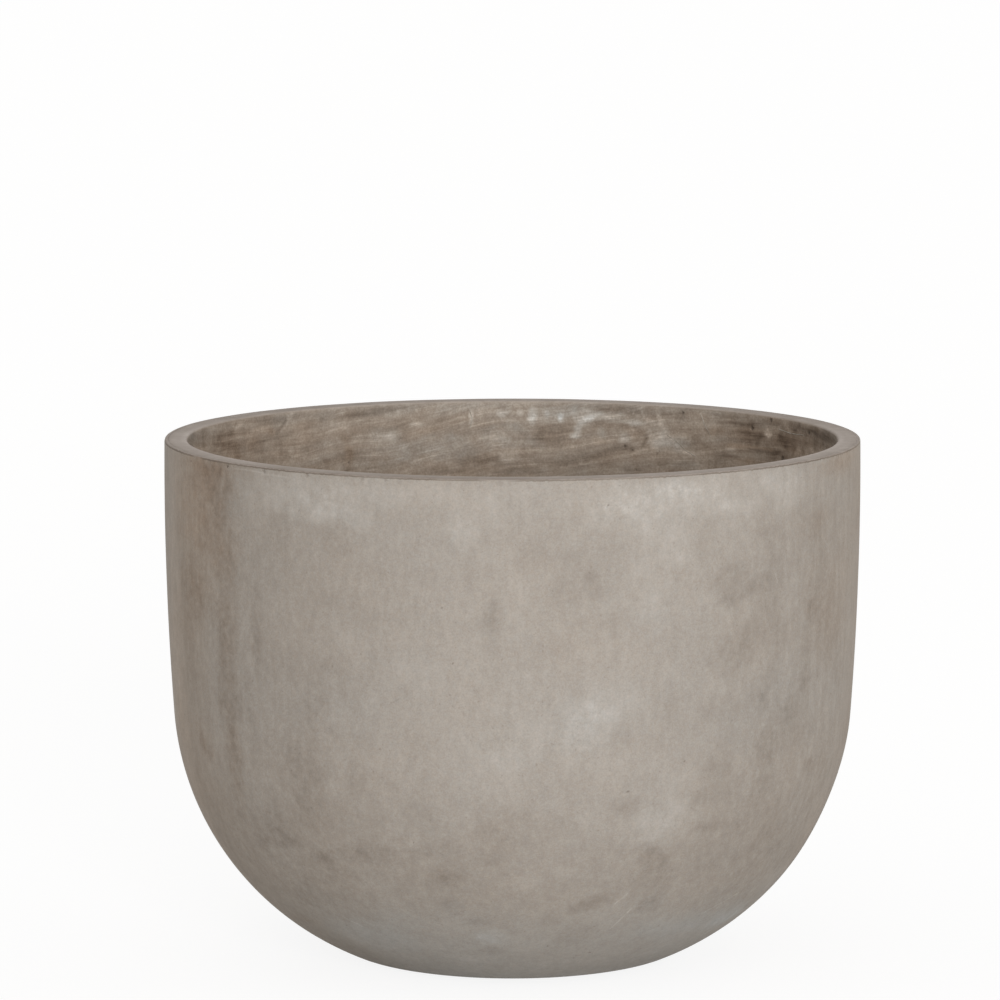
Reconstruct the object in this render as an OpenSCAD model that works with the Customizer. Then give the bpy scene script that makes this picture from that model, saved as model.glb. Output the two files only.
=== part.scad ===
// Round bowl planter of glass-fibre concrete, laid up in a mould in three layers.
// Millimetres, +Z up. The origin is on the ground, under the centre of the base.

/* [Bowl] */
// Outer diameter at the widest point
outer_d = 600; // [520:1:680]
// Overall height, from the ground to the rim
height = 450; // [400:1:520]
// How far below the rim the widest point lies
belly_drop = 42; // [20:1:80]
// Radius of the slow curve down the upper wall
barrel_r = 2800; // [1600:10:4000]
// Radius of the round underside of the bowl
bowl_r = 245; // [215:1:280]
// Diameter of the flat base
base_d = 275; // [260:1:320]
// Radius of the turn from the flat base into the bowl
base_edge_r = 26; // [23:1:40]

/* [Layers] */
// Thickness of the fine outer coat
face_t = 3; // [2:0.5:5]
// Thickness of the glass mat
mat_t = 2; // [1:0.5:3.5]
// Thickness of the hand-laid inner coat
backing_t = 15; // [12:0.5:17]
// How far below the rim the mat ends
mat_stop = 14; // [8:1:40]
// Width of solid concrete between the mat and the drain hole
mat_clear = 12; // [6:1:30]
// Radius of the rim's outer edge
rim_outer_r = 1.5; // [0.8:0.1:1.9]
// Radius of the rim's inner edge, rubbed round by hand
rim_inner_r = 2.5; // [1.5:0.5:6]

/* [Drain] */
// Diameter of the drain hole
drain_d = 26; // [20:1:40]
// Chamfer where the drain hole leaves the base
outlet_chamfer = 2; // [1:0.5:2.5]
// Depth of the seat that sinks the plug's flange into the floor
seat_depth = 5; // [4.5:0.5:7]
// Gap between the flange and the wall of its seat
seat_gap = 3; // [1:0.5:6]
// Chamfer round the top of the seat
seat_chamfer = 2; // [0.5:0.5:3]

/* [Plug] */
// Diameter of the plug's flange
flange_d = 46; // [43:1:60]
// Thickness of the plug's flange
flange_t = 4; // [3:0.5:4.5]
// Gap between the plug's ribs and the drain hole
plug_gap = 0.3; // [0.3:0.1:0.8]
// How far the ribs stand out from the stem
rib_h = 1.4; // [0.8:0.1:2]
// Number of sealing ribs
rib_n = 2; // [1:1:3]
// Distance between the ribs
rib_step = 4.5; // [4.2:0.1:4.8]
// How far the stem's end stays inside the base
stem_short = 1; // [0.5:0.5:3]
// Width of the finger tab
tab_w = 22; // [14:1:28]
// Thickness of the finger tab
tab_t = 4; // [3:0.5:7]
// Height of the finger tab above the flange
tab_h = 15; // [13:1:24]
// Thickness of the grip bars across the tab
grip_h = 0.7; // [0.4:0.1:1.2]
// Distance between the grip bars
grip_step = 3; // [2.6:0.1:3.6]

/* [Foot pads] */
// Number of pads
pad_n = 4; // [3:1:6]
// Diameter of a pad
pad_d = 40; // [24:1:50]
// Thickness of a pad
pad_t = 4; // [3:0.5:8]
// Chamfer round the bottom of a pad
pad_chamfer = 1; // [0.5:0.5:1.5]
// Diameter of the circle that the pads stand on
pad_circle_d = 200; // [160:1:208]

/* [Hidden] */
$fn = 120;
PADS = [for (i = [1:pad_n]) str("foot_pad_", i)];

arc_fn = 720;
wall_t = face_t + mat_t + backing_t;
base_z = pad_t;
floor_z = base_z + wall_t;
seat_z = floor_z - seat_depth;
drain_r = drain_d / 2;
seat_r = flange_d / 2 + seat_gap;

// The outer face is three arcs, each running smoothly into the next
barrel_c = [outer_d / 2 - barrel_r, height - belly_drop];
edge_c = [base_d / 2, base_z + base_edge_r];
// The bowl arc's centre lies where it touches the other two arcs from inside
span = norm(edge_c - barrel_c);
to_barrel = barrel_r - bowl_r;
to_edge = bowl_r - base_edge_r;
along = (span ^ 2 + to_barrel ^ 2 - to_edge ^ 2) / (2 * span);
aside = sqrt(to_barrel ^ 2 - along ^ 2);
heading = (edge_c - barrel_c) / span;
bowl_c = barrel_c + along * heading + aside * [-heading.y, heading.x];
// Angles below level at which one arc hands over to the next
barrel_end = atan2(barrel_c.y - bowl_c.y, bowl_c.x - barrel_c.x);
bowl_end = atan2(bowl_c.y - edge_c.y, edge_c.x - bowl_c.x);

function below(angle) = [cos(angle), -sin(angle)];

// Moves a shape by whole millimetres, then by what is left, which keeps every decimal
module at(place) {
    whole = [floor(place.x), floor(place.y)];
    translate(whole)
        translate(place - whole)
            children();
}

// Half of the section of all that lies deeper than this below the outer face
module within(depth) {
    crossing = barrel_c.y - barrel_c.x * below(barrel_end).y / below(barrel_end).x;
    intersection() {
        at(barrel_c)
            circle(r = barrel_r - depth, $fn = arc_fn);
        polygon([
            [0, crossing],
            barrel_c + (barrel_r + wall_t) * below(barrel_end),
            [outer_d, height],
            [0, height]
        ]);
    }
    at(bowl_c)
        intersection() {
            circle(r = bowl_r - depth, $fn = arc_fn);
            polygon([[0, 0], [2 * bowl_r, 0], 2 * bowl_r * below(bowl_end)]);
        }
    at(edge_c)
        circle(r = base_edge_r - depth, $fn = arc_fn);
    translate([0, base_z + depth])
        square([edge_c.x, barrel_c.y - base_z - depth]);
}

// Half of the section of a layer between two depths below the outer face
module layer(near, far) {
    difference() {
        within(near);
        within(far);
    }
}

// Half of the section of the mat: a layer, short of the rim and of the drain hole
module mat_section() {
    mat_r = drain_r + mat_clear;
    intersection() {
        layer(face_t, face_t + mat_t);
        translate([mat_r, 0])
            square([outer_d, height - mat_stop]);
    }
}

// Cuts the drain: a chamfered hole, opening into a seat for the plug's flange
module drain_cut() {
    polygon([
        [0, base_z],
        [drain_r + outlet_chamfer, base_z],
        [drain_r, base_z + outlet_chamfer],
        [drain_r, seat_z],
        [seat_r, seat_z],
        [seat_r, floor_z - seat_chamfer],
        [seat_r + seat_chamfer, floor_z],
        [0, floor_z]
    ]);
}

// Cuts a round edge of radius r along the rim, on the wall face of radius face_r.
// side is 1 on the outer face of the wall and -1 on the inner face.
module rim_cut(face_r, r, side) {
    from_c = face_r - side * r;
    up = height - r - barrel_c.y;
    centre = [barrel_c.x + sqrt(from_c ^ 2 - up ^ 2), height - r];
    out = side * (centre - barrel_c) / from_c;
    difference() {
        polygon([
            centre,
            centre + [0, 2 * r],
            centre + [2 * side * r, 2 * r],
            centre + 2 * r * out
        ]);
        translate(centre)
            circle(r = r);
    }
}

module face_coat() {
    color([0.67, 0.64, 0.60])
        rotate_extrude()
            difference() {
                layer(0, face_t);
                drain_cut();
                rim_cut(barrel_r, rim_outer_r, 1);
            }
}

module fibre_mat() {
    color([0.90, 0.90, 0.86])
        rotate_extrude()
            mat_section();
}

module backing_coat() {
    color([0.50, 0.46, 0.41])
        rotate_extrude()
            difference() {
                layer(face_t, wall_t);
                mat_section();
                drain_cut();
                rim_cut(barrel_r - wall_t, rim_inner_r, -1);
            }
}

// Half of the section of the plug's flange and stem
module plug_section() {
    rib_r = drain_r - plug_gap;
    stem_r = rib_r - rib_h;
    stem_end = base_z + stem_short;
    lead = rib_h;
    edge = flange_t / 4;
    flange_r = flange_d / 2;
    flange_top = seat_z + flange_t;
    polygon([
        [0, stem_end],
        [stem_r - lead, stem_end],
        [stem_r, stem_end + lead],
        [stem_r, seat_z],
        [flange_r - edge, seat_z],
        [flange_r, seat_z + edge],
        [flange_r, flange_top - edge],
        [flange_r - edge, flange_top],
        [0, flange_top]
    ]);
    for (i = [1:rib_n])
        translate([stem_r, seat_z - (i - 0.5) * rib_step])
            circle(r = rib_h);
}

// The finger tab: a blade with a round top and three grip bars on each side
module plug_tab() {
    foot = seat_z + flange_t;
    rise = tab_h - tab_w / 2;
    translate([0, tab_t / 2, foot])
        rotate([90, 0, 0])
            linear_extrude(height = tab_t) {
                translate([-tab_w / 2, -flange_t / 2])
                    square([tab_w, rise + flange_t / 2]);
                intersection() {
                    translate([0, rise])
                        circle(d = tab_w);
                    translate([-tab_w / 2, rise])
                        square([tab_w, tab_w / 2]);
                }
            }
    for (i = [-1:1])
        translate([-tab_w / 4, -tab_t / 2 - grip_h, foot + rise + i * grip_step])
            cube([tab_w / 2, tab_t + 2 * grip_h, grip_h]);
}

module drain_plug() {
    color([0.16, 0.16, 0.16]) {
        rotate_extrude()
            plug_section();
        plug_tab();
    }
}

module foot_pad(i) {
    color([0.12, 0.12, 0.12])
        rotate([0, 0, 45 + 360 * (i - 1) / pad_n])
            translate([pad_circle_d / 2, 0, 0]) {
                cylinder(d1 = pad_d - 2 * pad_chamfer, d2 = pad_d, h = pad_chamfer);
                translate([0, 0, pad_chamfer])
                    cylinder(d = pad_d, h = pad_t - pad_chamfer);
            }
}

face_coat();
fibre_mat();
backing_coat();
drain_plug();
for (i = [1:pad_n]) foot_pad(i);
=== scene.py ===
import math
import random

import bmesh
import bpy
import numpy as np
from mathutils import Matrix, Vector, noise
from mathutils.bvhtree import BVHTree


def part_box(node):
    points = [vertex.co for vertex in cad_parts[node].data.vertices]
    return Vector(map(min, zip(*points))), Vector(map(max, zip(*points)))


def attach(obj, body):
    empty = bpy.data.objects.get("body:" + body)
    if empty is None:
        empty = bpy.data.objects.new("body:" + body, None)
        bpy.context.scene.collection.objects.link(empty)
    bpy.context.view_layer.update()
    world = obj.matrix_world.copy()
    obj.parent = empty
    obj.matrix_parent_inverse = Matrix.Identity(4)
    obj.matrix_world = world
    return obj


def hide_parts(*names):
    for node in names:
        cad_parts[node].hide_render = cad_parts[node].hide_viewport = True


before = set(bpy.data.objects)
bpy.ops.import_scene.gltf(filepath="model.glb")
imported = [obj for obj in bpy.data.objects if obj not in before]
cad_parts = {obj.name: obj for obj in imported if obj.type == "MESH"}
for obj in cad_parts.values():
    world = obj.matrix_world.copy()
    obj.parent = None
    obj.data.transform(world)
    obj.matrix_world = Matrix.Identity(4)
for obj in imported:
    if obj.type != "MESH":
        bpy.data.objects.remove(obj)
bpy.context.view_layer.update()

MM = 0.001

# ---- Fine outer coat ---------------------------------------------------------------------
# The skin that shows outside: 3 mm of sieved mortar, sprayed into the polished mould first.
# It has the mould's three smooth curves and ends in the narrow outer band of the flat rim.

coat_low, coat_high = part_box("face_coat")
base_z = coat_low.z
rim_z = coat_high.z
belly_r = coat_high.x
belly_drop = 42 * MM
base_r = 137.5 * MM
skin_t = 3 * MM
wall_t = 20 * MM
drain_r = 13 * MM
outlet_chamfer = 2 * MM
arris_r = 1.5 * MM

# The mould's section: a slow curve down the wall, the round underside, the turn to the base
barrel_r = 2800 * MM
bowl_r = 245 * MM
turn_r = 26 * MM
barrel_c = np.array([belly_r - barrel_r, rim_z - belly_drop])
turn_c = np.array([base_r, base_z + turn_r])
span = np.linalg.norm(turn_c - barrel_c)
heading = (turn_c - barrel_c) / span
along = (span**2 + (barrel_r - bowl_r) ** 2 - (bowl_r - turn_r) ** 2) / (2 * span)
aside = math.sqrt((barrel_r - bowl_r) ** 2 - along**2)
bowl_c = barrel_c + along * heading + aside * np.array([-heading[1], heading[0]])
barrel_end = math.atan2(barrel_c[1] - bowl_c[1], bowl_c[0] - barrel_c[0])
bowl_end = math.atan2(bowl_c[1] - turn_c[1], turn_c[0] - bowl_c[0])

# How many corners go once round: at the rim, on the wall, on the base, and where it's hidden.
# Outside, the rim's count also holds for a fine band below the rim.
around_rim, around_wall, around_base, around_hidden = 1024, 512, 256, 128
fine_band = 8 * MM


def line(start, end, step):
    """Points (r, z) along a straight stretch of a section, without its last point."""
    start, end = np.array(start), np.array(end)
    count = max(1, round(np.linalg.norm(end - start) / step))
    return start + (end - start) * (np.arange(count) / count)[:, None]


def arc(centre, radius, first, last, step):
    """Points along a round stretch between two angles below level, without the last point."""
    count = max(2, round(abs(last - first) * radius / step))
    angle = first + (last - first) * np.arange(count) / count
    return centre + radius * np.stack([np.cos(angle), -np.sin(angle)], 1)


def barrel_angle(depth, z):
    """The angle below level at which the barrel, at a depth below its face, is at a height."""
    return -math.asin((z - barrel_c[1]) / (barrel_r - depth))


def mould_curve(depth, top_z, step):
    """The mould's section at a depth below its face, from the edge of the base up to top_z."""
    return np.concatenate([
        arc(turn_c, turn_r - depth, math.pi / 2, bowl_end, min(step, 3 * MM)),
        arc(bowl_c, bowl_r - depth, bowl_end, barrel_end, step),
        arc(barrel_c, barrel_r - depth, barrel_end, barrel_angle(depth, top_z), step),
    ])


def barrel_curve(depth, low_z, high_z, step):
    """The section of the upper wall at a depth below its face, from one height to another."""
    first, last = barrel_angle(depth, low_z), barrel_angle(depth, high_z)
    return arc(barrel_c, barrel_r - depth, first, last, step)


def wall_r(depth, z):
    """The radius of the wall at a height, at a depth below its outer face."""
    if z > barrel_c[1] - barrel_r * math.sin(barrel_end):
        return barrel_c[0] + math.sqrt((barrel_r - depth) ** 2 - (z - barrel_c[1]) ** 2)
    if z > bowl_c[1] - bowl_r * math.sin(bowl_end):
        return bowl_c[0] + math.sqrt((bowl_r - depth) ** 2 - (z - bowl_c[1]) ** 2)
    return turn_c[0] + math.sqrt((turn_r - depth) ** 2 - (z - turn_c[1]) ** 2)


def on_wall(degrees, height, depth=0.0):
    """A place on the wall: a bearing from the front, a height in mm, a depth below the face."""
    radius = wall_r(depth, height * MM)
    angle = math.radians(degrees)
    return Vector((radius * math.sin(angle), -radius * math.cos(angle), height * MM))


def placed(name, made):
    """Puts a mesh, a lamp or a camera into the scene under a name."""
    piece = bpy.data.objects.new(name, made)
    bpy.context.scene.collection.objects.link(piece)
    return piece


def swept(name, parts):
    """Sweeps a closed section round Z. Its parts are listed anticlockwise, each with its points,
    the number of bearings that they are repeated at, and 1 where the part shows."""
    section = np.concatenate([part[0] for part in parts])
    lengths = [len(part[0]) for part in parts]
    counts = np.repeat([part[1] for part in parts], lengths)
    first = np.cumsum(counts) - counts
    row = np.repeat(np.arange(len(section)), counts)
    angle = 2 * math.pi * (np.arange(len(row)) - first[row]) / counts[row]
    radius, height = section[row].T
    places = np.stack([radius * np.cos(angle), radius * np.sin(angle), height], 1)
    faces = []
    for i in range(len(section)):
        j = (i + 1) % len(section)
        steps = min(counts[i], counts[j])
        ahead = counts[i] // steps
        above = counts[j] // steps
        here = (np.arange(steps)[:, None] * ahead + np.arange(ahead + 1)) % counts[i] + first[i]
        there = (np.arange(steps)[:, None] * above + np.arange(above, -1, -1)) % counts[j] + first[j]
        faces += np.concatenate([here, there], 1).tolist()
    mesh = bpy.data.meshes.new(name)
    mesh.from_pydata(places.tolist(), [], faces)
    piece = placed(name, mesh)
    marks(piece, "showing", np.repeat([part[2] for part in parts], lengths)[row])
    return piece


def marks(piece, name, values):
    """Keeps one number for each corner of the mesh, for the piece's material to read."""
    layer = piece.data.attributes.get(name) or piece.data.attributes.new(name, "FLOAT", "POINT")
    layer.data.foreach_set("value", np.asarray(values, np.float32).ravel())


def marked(piece, name):
    """The numbers that marks() kept."""
    values = np.empty(len(piece.data.vertices), np.float32)
    piece.data.attributes[name].data.foreach_get("value", values)
    return values.astype(float)


def places_of(piece):
    """The mesh's corners and their outward directions."""
    corners = np.empty(len(piece.data.vertices) * 3)
    piece.data.vertices.foreach_get("co", corners)
    outward = np.empty(len(piece.data.vertices) * 3, np.float32)
    piece.data.vertex_normals.foreach_get("vector", outward)
    return corners.reshape(-1, 3), outward.reshape(-1, 3).astype(float)


def finer(piece, spots, reach, cuts):
    """Splits the faces within reach of the spots, so that small marks have corners of their own."""
    solid = bmesh.new()
    solid.from_mesh(piece.data)
    solid.faces.ensure_lookup_table()
    middles = np.array([face.calc_center_median() for face in solid.faces])
    close = np.zeros(len(middles), bool)
    for spot in spots:
        close |= np.linalg.norm(middles - np.array(spot), axis=1) < reach
    edges = {edge for i in np.flatnonzero(close) for edge in solid.faces[i].edges}
    edges = sorted(edges, key=lambda edge: edge.index)
    bmesh.ops.subdivide_edges(solid, edges=edges, cuts=cuts, use_grid_fill=True)
    solid.to_mesh(piece.data)
    solid.free()


def lumps(places, size, octaves=2, seed=0):
    """Soft noise between about -1 and 1, with lumps of that size."""
    return np.array([noise.fractal(Vector(p), 1.0, 2.0, octaves) for p in places / size + seed * 17.3])


def bearing(places):
    """Degrees round from the front, which is -Y, positive towards +X."""
    return np.degrees(np.arctan2(places[:, 0], -places[:, 1]))


def near(values, middle, half_width):
    """1 at the middle, falling smoothly to 0 at half_width to either side."""
    share = np.clip(1 - np.abs(values - middle) / half_width, 0, 1)
    return share * share * (3 - 2 * share)


everywhere = math.inf


def shaded(places, shades):
    """Broad soft shades: a bearing and its half width, a height and its half width in mm, how
    much paler, how much warmer."""
    paler = np.zeros(len(places))
    warmer = np.zeros(len(places))
    for middle, half_wide, level, half_high, tone, warmth in shades:
        off = (bearing(places) - middle + 180) % 360 - 180
        share = near(off, 0, half_wide) * near(places[:, 2] / MM, level, half_high)
        paler += tone * share
        warmer += warmth * share
    return paler, warmer


def patches(places, spots, grow=1.45):
    """Soft oval patches: a bearing and a height in mm, half sizes in degrees and mm, how much
    paler, how much warmer. Their outlines wander, as the marks of damp and release oil do."""
    angle = bearing(places)
    height = places[:, 2] / MM
    sideways = 2.2 * lumps(places, 14 * MM, 3, 31)
    upways = 9 * lumps(places, 14 * MM, 3, 32)
    cloudy = 1 + 0.5 * lumps(places, 10 * MM, 3, 33)
    paler = np.zeros(len(places))
    warmer = np.zeros(len(places))
    for middle, level, half_wide, half_high, tone, warmth in spots:
        across = (angle - middle + 180) % 360 - 180 + sideways * min(1, half_wide / 5)
        upward = height - level + upways * min(1, half_high / 14)
        away = (across / (grow * half_wide)) ** 2 + (upward / (grow * half_high)) ** 2
        share = np.clip(1 - away, 0, 1) * cloudy
        paler += tone * share
        warmer += warmth * share
    return paler, warmer


def strokes(places, lines, radius):
    """Thin marks: 1 on a line, falling to 0 at its half width, times how much the line counts.
    A line is a half width in mm, how much it counts, and points of a bearing and a height."""
    angle = bearing(places) % 360
    height = places[:, 2] / MM
    arc_mm = math.radians(radius / MM)
    total = np.zeros(len(places))
    for half_wide, weight, points in lines:
        distance = np.full(len(places), 1e3)
        for (start_angle, start_height), (end_angle, end_height) in zip(points, points[1:]):
            across = ((angle - start_angle + 180) % 360 - 180) * arc_mm
            upward = height - start_height
            ahead = (end_angle - start_angle) * arc_mm
            rise = end_height - start_height
            share = np.clip((across * ahead + upward * rise) / (ahead**2 + rise**2), 0, 1)
            gap = np.hypot(across - share * ahead, upward - share * rise)
            distance = np.minimum(distance, gap)
        here = weight * np.clip(1 - distance / half_wide, 0, 1)
        total = np.where(np.abs(here) > np.abs(total), here, total)
    return total


# Marks on the wall, each a bearing, a height, half sizes, how much paler and how much warmer.
# Brown runs below the rim, most of them on the left, and the limb beside those
brown_runs = [
    (-57, 443, 10, 8, -0.5, 0.6), (66, 441, 7, 8, -0.5, 0.7), (-57, 430, 5, 25, -0.9, 1),
    (-64, 420, 6, 30, -0.2, 0.8), (-63, 385, 8, 20, -0.4, 0.6), (-63, 345, 5, 16, -0.6, 0.5),
    (-55, 380, 5, 25, -0.7, 0.7), (-60, 325, 5, 15, -0.4, 0.4), (-66, 325, 5, 30, -0.3, 0.4),
    (-52.5, 335, 2.4, 60, -0.55, 0.3), (-53, 265, 2.4, 60, -0.7, 0.4),
    (-53, 200, 1.8, 40, -0.5, 0.3), (-54, 430, 3.5, 25, -0.6, 0.3), (-45, 315, 1.2, 35, -0.6, 0),
    (-48, 255, 1.5, 20, -0.35, 0), (-74, 300, 4, 250, 0.5, 0.3),
]
# Pale bloom on the upper wall, with the float's smears
pale_bloom = [
    (-43, 430, 4, 15, 0.5, 0), (-36, 430, 6, 15, 0.55, -0.2), (-29, 430, 4, 13, 0.75, -0.2),
    (-33, 418, 5, 8, 0.6, -0.3), (-28, 315, 2, 8, 0.35, 0), (-26, 415, 3, 10, 0.5, -0.3),
    (-21, 435, 4, 10, 0.5, -0.2), (-15, 438, 4, 6, 0.4, 0), (-8, 410, 1.8, 12, 0.5, -0.2),
    (18, 432, 4, 13, 0.7, -0.2), (21, 415, 4, 15, 0.55, -0.2), (26, 440, 3, 9, 0.5, -0.2),
    (14, 415, 2, 10, 0.4, -0.2), (23, 375, 4, 20, 0.5, -0.2), (23, 340, 3, 15, 0.6, -0.3),
    (30, 430, 6, 14, 0.65, -0.2), (38, 420, 4, 10, 0.6, -0.2), (48, 435, 6, 8, 0.7, -0.1),
    (50, 420, 4, 10, 0.6, -0.1), (27, 395, 3, 20, 0.6, -0.2), (49, 333, 2, 8, 0.4, 0),
    (35.5, 395, 4, 22, 0.35, 0),
]
# Pale bloom lower down, and the bluish cast of the underside with a brown mark in it
low_bloom = [
    (14, 268, 5, 18, 0.4, -0.2), (12, 255, 4, 12, 0.4, -0.2), (8, 240, 5, 15, 0.4, -0.2),
    (12, 235, 3, 8, 0.4, -0.2), (0, 222, 4, 8, 0.25, -0.2), (-16, 295, 3, 8, 0.25, 0),
    (24, 160, 4, 20, 0.4, -0.2), (10, 122, 3, 5, 0.5, 0), (2, 112, 3, 5, 0.4, 0),
    (-4, 57, 3, 5, 0.9, -0.8), (-25, 70, 6, 8, 0.2, -0.4), (57, 240, 3, 12, 0.25, -0.2),
    (27, 190, 3, 12, 0.4, -0.2), (27, 158, 5, 18, 0.4, -0.2), (65, 85, 6, 12, 0.5, 0),
    (70, 130, 4, 30, 0.5, 0.2), (45, 57, 15, 10, 0.4, -0.7), (58, 55, 6, 8, 0.6, -0.6),
    (-35, 50, 12, 12, 0.4, -0.6), (-55, 52, 6, 6, -0.2, 0.5),
]
# Darker, damp-looking marks on the left
left_marks = [
    (-29, 393, 2.5, 10, -0.35, 0), (-30, 345, 4, 6, -0.3, 0), (-36, 255, 3, 10, -0.3, 0),
    (-38, 210, 6, 25, -0.35, 0), (-35, 180, 3, 25, -0.5, 0), (-63, 207, 1.5, 6, -0.9, 0.7),
    (-61, 198, 1.5, 6, -0.9, 0.7), (-45, 137, 3, 9, -0.8, 0), (-50, 130, 3, 6, -0.7, 0),
    (-41, 135, 2, 6, -0.5, 0), (-36, 122, 3, 7, -0.9, 0), (-34, 110, 2.5, 6, -0.6, 0),
    (-45, 155, 2, 8, -0.5, 0), (-47, 80, 2, 7, -0.4, 0), (-32, 280, 4, 45, -0.3, 0),
]
# Darker marks in the middle
middle_marks = [
    (-6, 372, 1, 15, -0.4, 0), (-3, 335, 1.5, 20, -0.7, 0), (2, 387, 2, 12, -0.35, 0),
    (10, 370, 3, 18, -0.5, 0), (13, 365, 1.5, 12, -0.5, 0), (15, 335, 4, 6, -0.25, 0),
    (18, 238, 2, 15, -0.25, 0), (-25, 195, 3, 15, -0.3, 0), (0, 172, 3, 7, -0.4, 0),
    (-4, 160, 3, 10, -0.4, 0), (-4.5, 135, 2, 8, -0.6, 0), (-10, 140, 3, 8, -0.4, 0),
    (-16, 137, 3, 5, -0.6, 0), (-26, 133, 4, 9, -0.9, 0), (-11.5, 117, 2.6, 8, -0.75, 0.1),
    (-14, 110, 2, 6, -0.5, 0), (18, 178, 2.2, 8, -0.7, 0), (8, 163, 2.5, 6, -0.4, 0),
    (24, 135, 4, 8, -0.5, 0), (27, 122, 2, 8, -0.5, 0), (18, 107, 2, 6, -0.5, 0),
    (16, 92, 2.5, 6, -1, 0), (13, 85, 2, 5, -0.8, 0), (-11, 85, 2, 10, -0.4, -0.3),
    (-7, 72, 2.5, 5, -0.6, -0.3), (8, 75, 2.5, 6, -0.4, 0), (-5, 42, 3, 4, -0.8, 0),
    (14, 60, 4, 9, -0.4, 0), (-23, 55, 5, 9, -0.25, 0),
]
# Darker marks on the right, and the warmer shade towards its limb
right_marks = [
    (44, 400, 2, 8, -0.3, 0), (45.5, 380, 2.2, 32, -0.3, 0), (37, 358, 4, 18, -0.5, 0),
    (37, 342, 2, 6, -0.6, 0), (43, 355, 3, 8, -0.5, 0), (59, 400, 3, 8, -0.5, 0.5),
    (58, 385, 3, 5, -0.4, 0.2), (37, 297, 4.5, 14, -0.55, 0), (41, 315, 2.5, 12, -0.35, 0),
    (38, 305, 3, 8, -0.3, 0), (34, 255, 3, 12, -0.3, 0), (45, 257, 1.5, 8, -0.5, 0),
    (51, 240, 3, 8, -0.6, 0), (44, 220, 2, 8, -0.5, 0), (48, 215, 4, 14, -0.4, 0),
    (46, 190, 2, 20, -0.45, 0), (35, 208, 3, 10, -0.3, 0), (33, 178, 3, 8, -0.4, 0),
    (35, 152, 3, 5, -0.5, 0), (40, 150, 3, 6, -0.4, 0), (42, 200, 8, 40, -0.25, 0),
    (50, 135, 4, 8, -0.3, 0), (60, 340, 5, 25, -0.4, 0.4), (62, 310, 5, 30, -0.4, 0.4),
    (56, 300, 1, 40, -0.4, 0.1), (56, 265, 2, 8, -0.5, 0.1), (57, 322, 1.5, 10, -0.4, 0.2),
    (59, 192, 2, 5, -0.6, 0.4), (64, 185, 4, 8, -0.3, 0.2), (68, 320, 5, 40, -0.1, 0.3),
    (25, 130, 3, 8, -0.4, 0), (27, 110, 3, 12, -0.6, 0), (28, 82, 2.5, 8, -0.8, -0.2),
    (46, 300, 3, 70, -0.25, 0), (54.6, 240, 3, 22, -0.35, 0.2),
]
# Both flanks, where no picture shows more than their edge
flank_marks = [
    (84, 390, 4, 25, -0.4, 0.4), (88, 300, 2, 60, -0.5, 0.2), (80, 200, 5, 20, -0.4, 0.2),
    (93, 420, 6, 14, 0.6, -0.2), (97, 340, 4, 20, 0.4, -0.2), (92, 150, 6, 12, -0.5, 0),
    (95, 90, 8, 12, 0.4, -0.4), (-84, 400, 5, 30, -0.5, 0.5), (-90, 330, 3, 60, -0.5, 0.3),
    (-82, 220, 4, 30, 0.3, -0.1), (-95, 425, 7, 14, 0.5, -0.2), (-92, 180, 5, 14, -0.5, 0.1),
    (-88, 120, 7, 12, -0.4, 0), (-96, 80, 8, 12, 0.4, -0.4),
]
wall_spots = brown_runs + pale_bloom + low_bloom + left_marks + middle_marks + right_marks
back_spots = [(180 - spot[0], *spot[1:]) for spot in wall_spots if abs(spot[0]) < 70]

# Pinholes that air left against the mould: a bearing, a height, a radius and a depth in mm
pinholes = [
    (11, 439, 0.9, 0.5), (15, 428, 0.9, 0.6), (-11, 344, 0.9, 0.5), (-11, 336, 0.8, 0.5),
    (19, 190, 1.1, 0.7), (8, 47, 1, 0.6), (19, 37, 1, 0.6), (33, 60, 0.9, 0.5),
    (-52, 446, 1, 0.8), (-64, 444, 1, 0.7), (68, 448, 1, 0.8),
]
stray_pinholes = 55
chance = random.Random(7)
for _ in range(stray_pinholes):
    pinholes.append((chance.uniform(-180, 180), chance.uniform(20, 440),
                     chance.uniform(0.4, 0.9), chance.uniform(0.2, 0.5)))

# Bruises where the mould's lip tore the arris: a bearing, a radius and a depth in mm
bruises = [
    (-43, 2.4, 0.7), (-34, 2, 0.6), (-24, 2.6, 0.5), (-20, 1.8, 0.5), (-52, 3, 0.6),
    (-2, 4, 0.35), (66, 2, 0.6), (96, 2.4, 0.6), (131, 2, 0.5), (168, 3, 0.6), (-104, 2.2, 0.6),
    (-150, 2.6, 0.6),
]

# Fine scratches from handling: half width in mm, how much paler, and its points
scratches = [
    (0.8, 1.2, [(20, 88), (22, 97)]), (0.8, 1.1, [(21, 62), (24, 82)]),
    (0.8, 0.9, [(-38, 66), (-34, 58)]), (0.8, 1, [(46.5, 360), (47, 352)]),
    (0.8, 1, [(44, 66), (52, 80)]), (0.8, -0.7, [(-20, 262), (-18, 268)]),
    (0.8, 0.8, [(140, 300), (146, 322)]), (0.8, 0.8, [(-120, 240), (-124, 215)]),
    (1.2, 0.6, [(-50, 445.6), (-46, 446), (-43, 445)]),
    (1.2, 0.5, [(-43.5, 443.8), (-41, 444.4), (-38, 443.6)]),
]

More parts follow.
